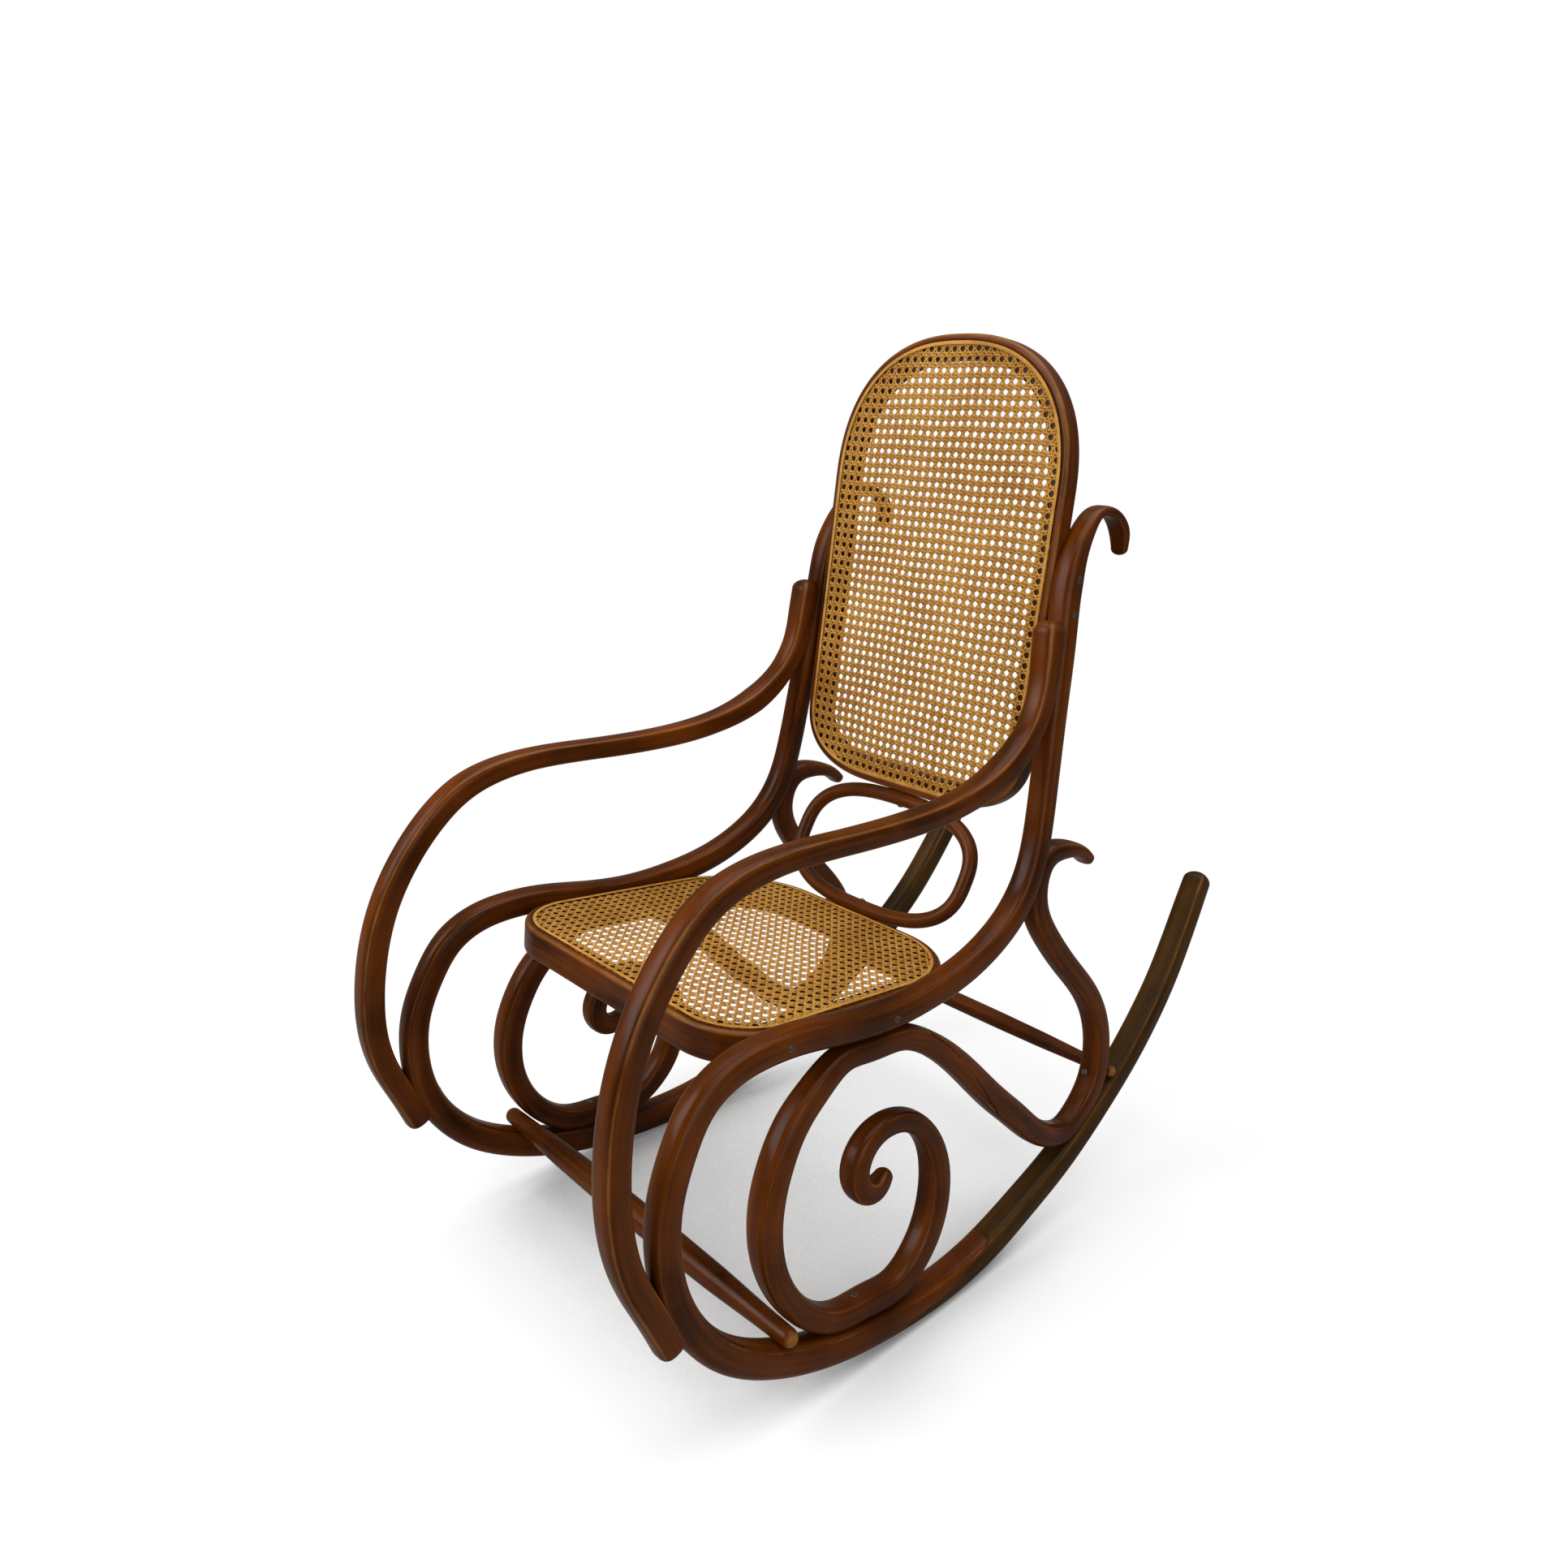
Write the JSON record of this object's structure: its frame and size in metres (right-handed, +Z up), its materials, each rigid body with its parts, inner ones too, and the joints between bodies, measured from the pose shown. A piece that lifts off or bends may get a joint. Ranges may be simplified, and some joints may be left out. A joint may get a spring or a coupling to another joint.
{
  "type": "bentwood rocking chair",
  "caption": "Bentwood rocking chair: curling steam-bent side rods and runners, scrolls, long arms, and a caned seat and back.",
  "frame": {"origin": "on the floor, at the middle of the chair's width and of its length", "axes": "+Z up, -Y towards the front of the chair, +X towards the sitter's left"},
  "size_m": [0.5804, 1.0702, 1.1177],
  "materials": {
    "frame_wood": "dark stained, worn semi-gloss",
    "runner_wood": "dark stained, dull and worn",
    "rim_wood": "dark stained, worn semi-gloss",
    "cane": "golden woven cane, satin",
    "screw_steel": "dull, slotted round head"
  },
  "bodies": {
    "root": {"side_frame_left": "frame_wood", "side_frame_right": "frame_wood", "runner_left": "runner_wood", "runner_right": "runner_wood", "scroll_left": "frame_wood", "scroll_right": "frame_wood", "rear_brace_left": "frame_wood", "rear_brace_right": "frame_wood", "arm_left": "frame_wood", "arm_right": "frame_wood", "back_frame": "rim_wood", "back_cane": "cane", "back_binder": "cane", "seat_frame": "rim_wood", "seat_cane": "cane", "seat_binder": "cane", "back_ring": "frame_wood", "front_stretcher": "frame_wood", "rear_stretcher": "frame_wood", "arm_top_screw_left": "screw_steel", "arm_top_screw_right": "screw_steel", "arm_foot_screw_left": "screw_steel", "arm_foot_screw_right": "screw_steel", "scroll_runner_screw_left": "screw_steel", "scroll_runner_screw_right": "screw_steel", "scroll_rail_screw_left": "screw_steel", "scroll_rail_screw_right": "screw_steel", "brace_runner_screw_left": "screw_steel", "brace_runner_screw_right": "screw_steel", "brace_upright_screw_left": "screw_steel", "brace_upright_screw_right": "screw_steel", "front_stretcher_screw_left": "screw_steel", "front_stretcher_screw_right": "screw_steel", "rear_stretcher_screw_left": "screw_steel", "rear_stretcher_screw_right": "screw_steel", "back_lower_screw_left": "screw_steel", "back_lower_screw_right": "screw_steel", "back_upper_screw_left": "screw_steel", "back_upper_screw_right": "screw_steel", "seat_front_screw_left": "screw_steel", "seat_front_screw_right": "screw_steel", "seat_rear_screw_left": "screw_steel", "seat_rear_screw_right": "screw_steel", "ring_foot_screw": "screw_steel", "ring_top_screw": "screw_steel"}
  },
  "joints": []
}
